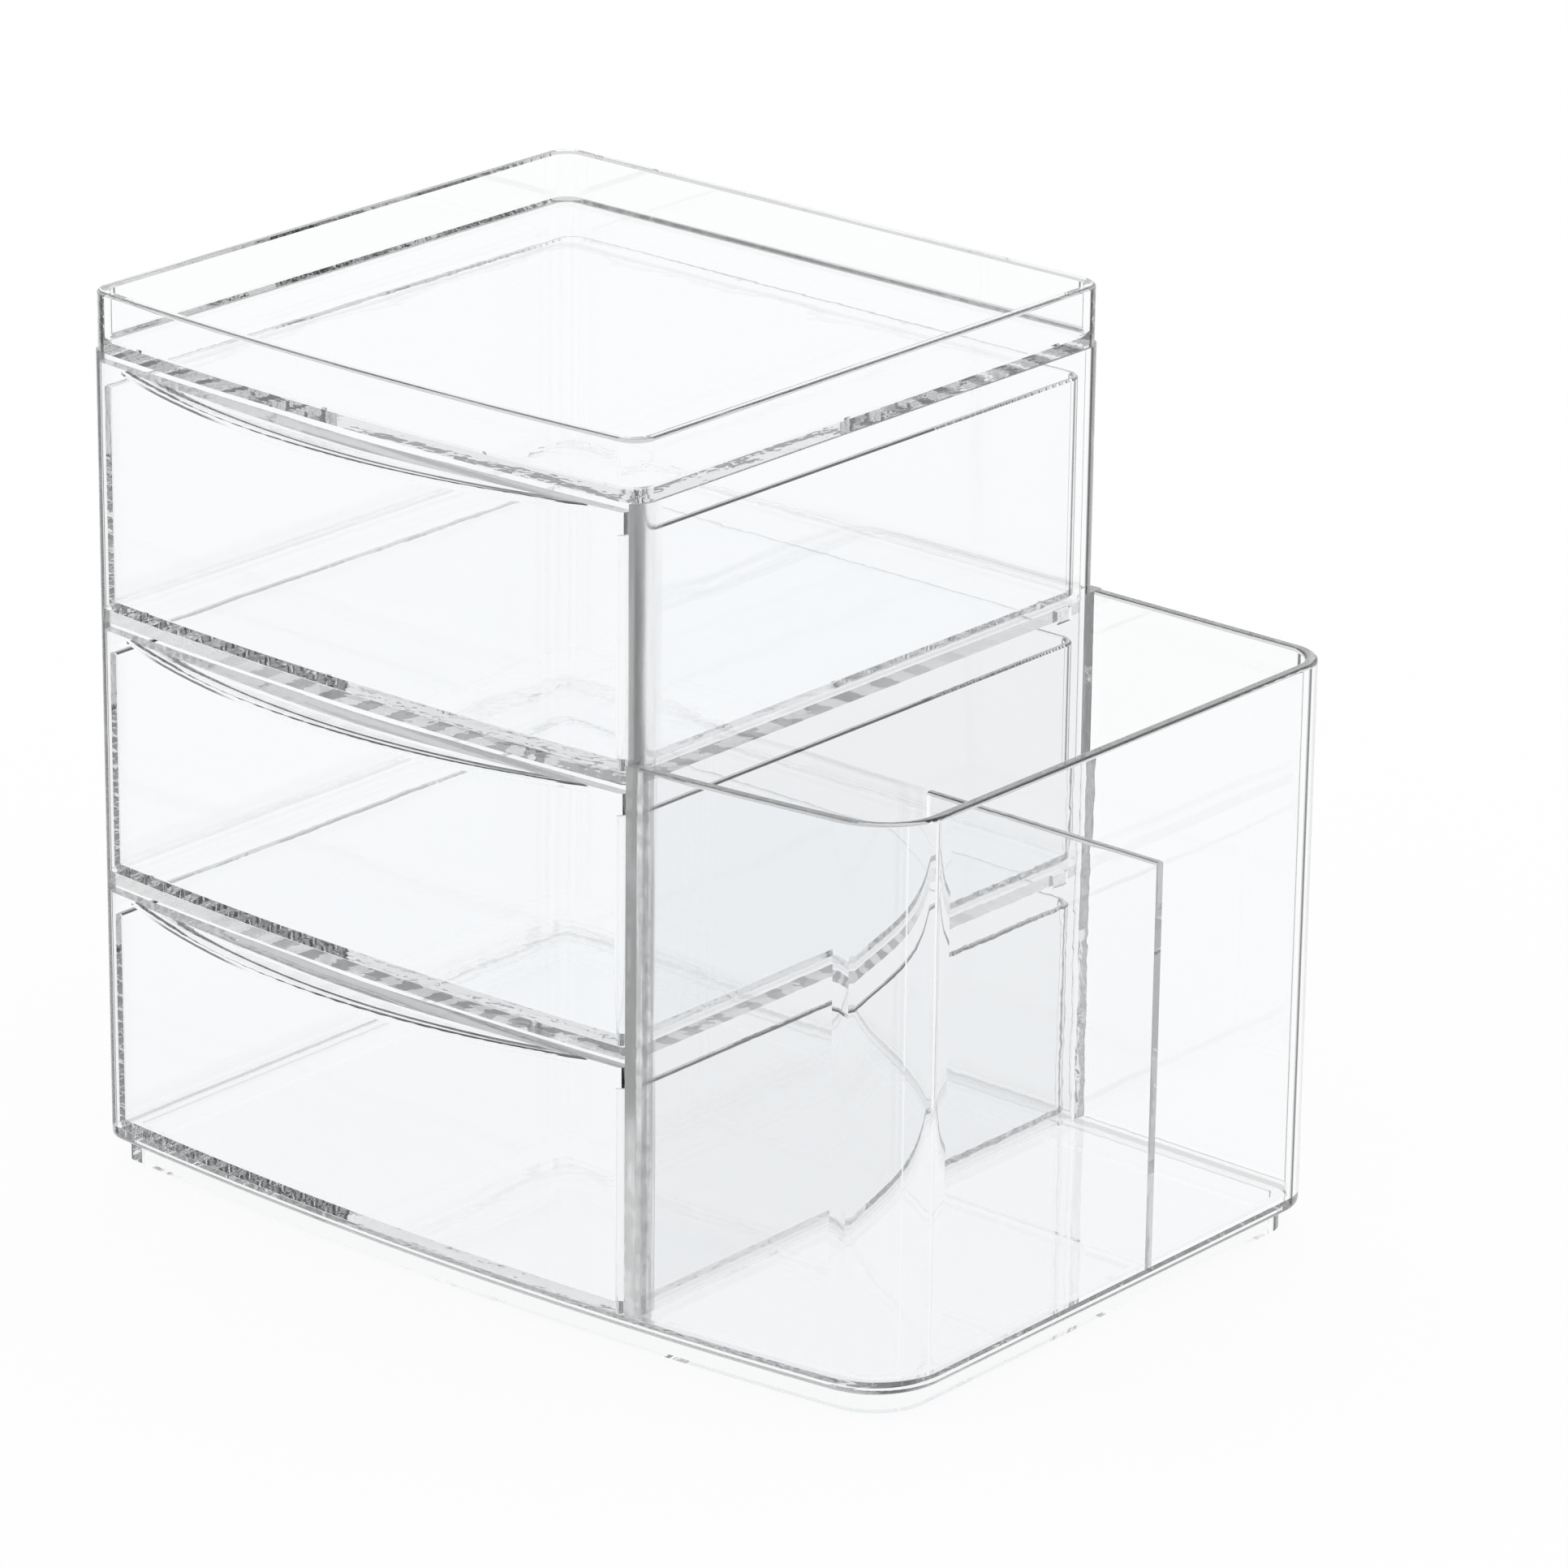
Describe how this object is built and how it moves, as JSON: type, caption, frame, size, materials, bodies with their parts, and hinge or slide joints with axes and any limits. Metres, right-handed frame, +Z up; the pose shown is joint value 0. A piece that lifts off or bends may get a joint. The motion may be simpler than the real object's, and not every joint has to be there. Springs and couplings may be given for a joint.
{
  "type": "makeup organizer",
  "caption": "Clear plastic cosmetics organizer with stacked sliding drawers, an open tray on top and a lower open caddy at its right side.",
  "frame": {"origin": "middle of the footprint of the whole object, pull lips included, on the surface that it stands on", "axes": "+X to the right along the front, +Y from the front to the back, +Z up"},
  "size_m": [0.196, 0.146, 0.178],
  "materials": {
    "clear_case": "polished clear",
    "clear_drawer": "polished clear"
  },
  "bodies": {
    "case": {"base_plate": "clear_case", "casing_shell": "clear_case", "shelf_upper": "clear_case", "shelf_lower": "clear_case", "top_tray": "clear_case", "caddy_shell": "clear_case", "caddy_divider": "clear_case"},
    "upper_drawer": {"drawer_upper": "clear_drawer"},
    "middle_drawer": {"drawer_middle": "clear_drawer"},
    "lower_drawer": {"drawer_lower": "clear_drawer"}
  },
  "joints": [
    {"name": "upper_drawer_slide", "type": "slide", "parent": "case", "child": "upper_drawer", "axis": [0, -1, 0], "range_m": [0, 0.1]},
    {"name": "middle_drawer_slide", "type": "slide", "parent": "case", "child": "middle_drawer", "axis": [0, -1, 0], "range_m": [0, 0.1]},
    {"name": "lower_drawer_slide", "type": "slide", "parent": "case", "child": "lower_drawer", "axis": [0, -1, 0], "range_m": [0, 0.1]}
  ]
}
